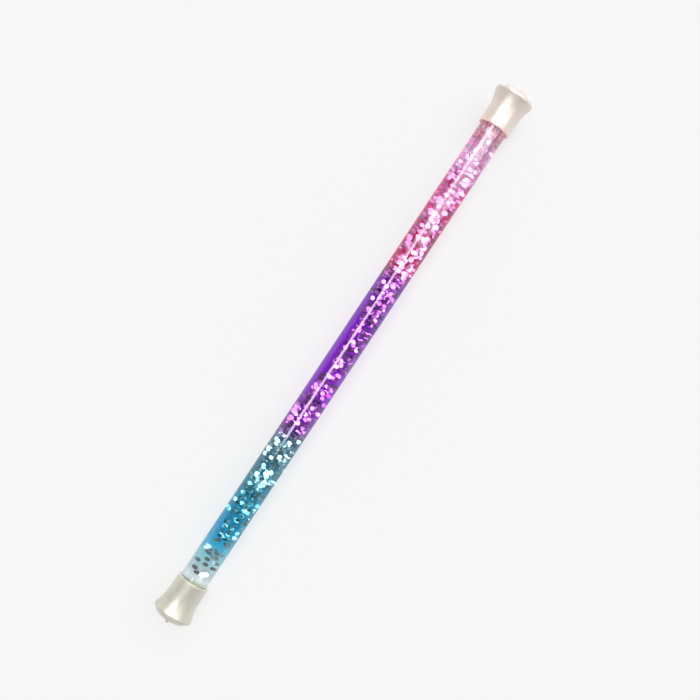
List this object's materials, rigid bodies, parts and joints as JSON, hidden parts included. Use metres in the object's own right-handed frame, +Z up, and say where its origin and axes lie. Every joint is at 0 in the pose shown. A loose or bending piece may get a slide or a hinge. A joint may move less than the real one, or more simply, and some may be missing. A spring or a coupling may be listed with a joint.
{
  "type": "glitter wand",
  "caption": "Toy magic wand: a slim sealed tube of liquid tinted blue to purple to pink, with drifting foil glitter, an air bubble and a flared pearly cap on each end.",
  "frame": {"origin": "under the middle of the wand, on the surface that its two rims rest on", "axes": "+X along the wand towards its pink end, +Z up"},
  "size_m": [0.31, 0.0202, 0.0203],
  "materials": {
    "tinted_tube": "clear glossy plastic, tinted pale blue, blue, purple and pink along its length",
    "pearl_cap": "off-white plastic with a pearly lustre, slightly see-through",
    "stopper": "soft milky rubber",
    "liquid": "clear liquid",
    "foil": "bright silver foil"
  },
  "bodies": {
    "wand": {"tube": "tinted_tube", "blue_cap": "pearl_cap", "pink_cap": "pearl_cap", "blue_stopper": "stopper", "pink_stopper": "stopper", "liquid": "liquid"},
    "drift_bed_1": {"glitter_bed_1": "foil"},
    "drift_bed_2": {"glitter_bed_2": "foil"},
    "drift_bed_3": {"glitter_bed_3": "foil"},
    "drift_bed_4": {"glitter_bed_4": "foil"},
    "drift_bed_5": {"glitter_bed_5": "foil"},
    "drift_low_1": {"glitter_low_1": "foil"},
    "drift_low_2": {"glitter_low_2": "foil"},
    "drift_low_3": {"glitter_low_3": "foil"},
    "drift_low_4": {"glitter_low_4": "foil"},
    "drift_low_5": {"glitter_low_5": "foil"},
    "drift_high_1": {"glitter_high_1": "foil"},
    "drift_high_2": {"glitter_high_2": "foil"},
    "drift_high_3": {"glitter_high_3": "foil"},
    "drift_high_4": {"glitter_high_4": "foil"},
    "drift_high_5": {"glitter_high_5": "foil"},
    "drift_top_1": {"glitter_top_1": "foil"},
    "drift_top_2": {"glitter_top_2": "foil"},
    "drift_top_3": {"glitter_top_3": "foil"},
    "drift_top_4": {"glitter_top_4": "foil"}
  },
  "joints": [
    {"name": "glitter_drift", "type": "slide", "parent": "wand", "child": "drift_low_5", "axis": [-1, 0, 0], "range_m": [0, 0.1229], "deforming": ["liquid"]},
    {"name": "bed_1_drift", "type": "slide", "parent": "wand", "child": "drift_bed_1", "axis": [-1, 0, 0], "range_m": [0, 0.00472]},
    {"name": "bed_2_drift", "type": "slide", "parent": "wand", "child": "drift_bed_2", "axis": [-1, 0, 0], "range_m": [0, 0.03098]},
    {"name": "bed_3_drift", "type": "slide", "parent": "wand", "child": "drift_bed_3", "axis": [-1, 0, 0], "range_m": [0, 0.05725]},
    {"name": "bed_4_drift", "type": "slide", "parent": "wand", "child": "drift_bed_4", "axis": [-1, 0, 0], "range_m": [0, 0.08351]},
    {"name": "bed_5_drift", "type": "slide", "parent": "wand", "child": "drift_bed_5", "axis": [-1, 0, 0], "range_m": [0, 0.10977]},
    {"name": "low_1_drift", "type": "slide", "parent": "wand", "child": "drift_low_1", "axis": [-1, 0, 0], "range_m": [0, 0.01785]},
    {"name": "low_2_drift", "type": "slide", "parent": "wand", "child": "drift_low_2", "axis": [-1, 0, 0], "range_m": [0, 0.04412]},
    {"name": "low_3_drift", "type": "slide", "parent": "wand", "child": "drift_low_3", "axis": [-1, 0, 0], "range_m": [0, 0.07038]},
    {"name": "low_4_drift", "type": "slide", "parent": "wand", "child": "drift_low_4", "axis": [-1, 0, 0], "range_m": [0, 0.09664]},
    {"name": "high_1_drift", "type": "slide", "parent": "wand", "child": "drift_high_1", "axis": [-1, 0, 0], "range_m": [0, 0.01129]},
    {"name": "high_2_drift", "type": "slide", "parent": "wand", "child": "drift_high_2", "axis": [-1, 0, 0], "range_m": [0, 0.03755]},
    {"name": "high_3_drift", "type": "slide", "parent": "wand", "child": "drift_high_3", "axis": [-1, 0, 0], "range_m": [0, 0.06381]},
    {"name": "high_4_drift", "type": "slide", "parent": "wand", "child": "drift_high_4", "axis": [-1, 0, 0], "range_m": [0, 0.09008]},
    {"name": "high_5_drift", "type": "slide", "parent": "wand", "child": "drift_high_5", "axis": [-1, 0, 0], "range_m": [0, 0.11634]},
    {"name": "top_1_drift", "type": "slide", "parent": "wand", "child": "drift_top_1", "axis": [-1, 0, 0], "range_m": [0, 0.02442]},
    {"name": "top_2_drift", "type": "slide", "parent": "wand", "child": "drift_top_2", "axis": [-1, 0, 0], "range_m": [0, 0.05068]},
    {"name": "top_3_drift", "type": "slide", "parent": "wand", "child": "drift_top_3", "axis": [-1, 0, 0], "range_m": [0, 0.07695]},
    {"name": "top_4_drift", "type": "slide", "parent": "wand", "child": "drift_top_4", "axis": [-1, 0, 0], "range_m": [0, 0.10321]}
  ],
  "couplings": [
    {"joint": "bed_1_drift", "follows": "glitter_drift", "ratio": 0.03838},
    {"joint": "bed_2_drift", "follows": "glitter_drift", "ratio": 0.25207},
    {"joint": "bed_3_drift", "follows": "glitter_drift", "ratio": 0.46577},
    {"joint": "bed_4_drift", "follows": "glitter_drift", "ratio": 0.67946},
    {"joint": "bed_5_drift", "follows": "glitter_drift", "ratio": 0.89316},
    {"joint": "low_1_drift", "follows": "glitter_drift", "ratio": 0.14523},
    {"joint": "low_2_drift", "follows": "glitter_drift", "ratio": 0.35892},
    {"joint": "low_3_drift", "follows": "glitter_drift", "ratio": 0.57261},
    {"joint": "low_4_drift", "follows": "glitter_drift", "ratio": 0.78631},
    {"joint": "high_1_drift", "follows": "glitter_drift", "ratio": 0.0918},
    {"joint": "high_2_drift", "follows": "glitter_drift", "ratio": 0.3055},
    {"joint": "high_3_drift", "follows": "glitter_drift", "ratio": 0.51919},
    {"joint": "high_4_drift", "follows": "glitter_drift", "ratio": 0.73289},
    {"joint": "high_5_drift", "follows": "glitter_drift", "ratio": 0.94658},
    {"joint": "top_1_drift", "follows": "glitter_drift", "ratio": 0.19865},
    {"joint": "top_2_drift", "follows": "glitter_drift", "ratio": 0.41235},
    {"joint": "top_3_drift", "follows": "glitter_drift", "ratio": 0.62604},
    {"joint": "top_4_drift", "follows": "glitter_drift", "ratio": 0.83973}
  ]
}
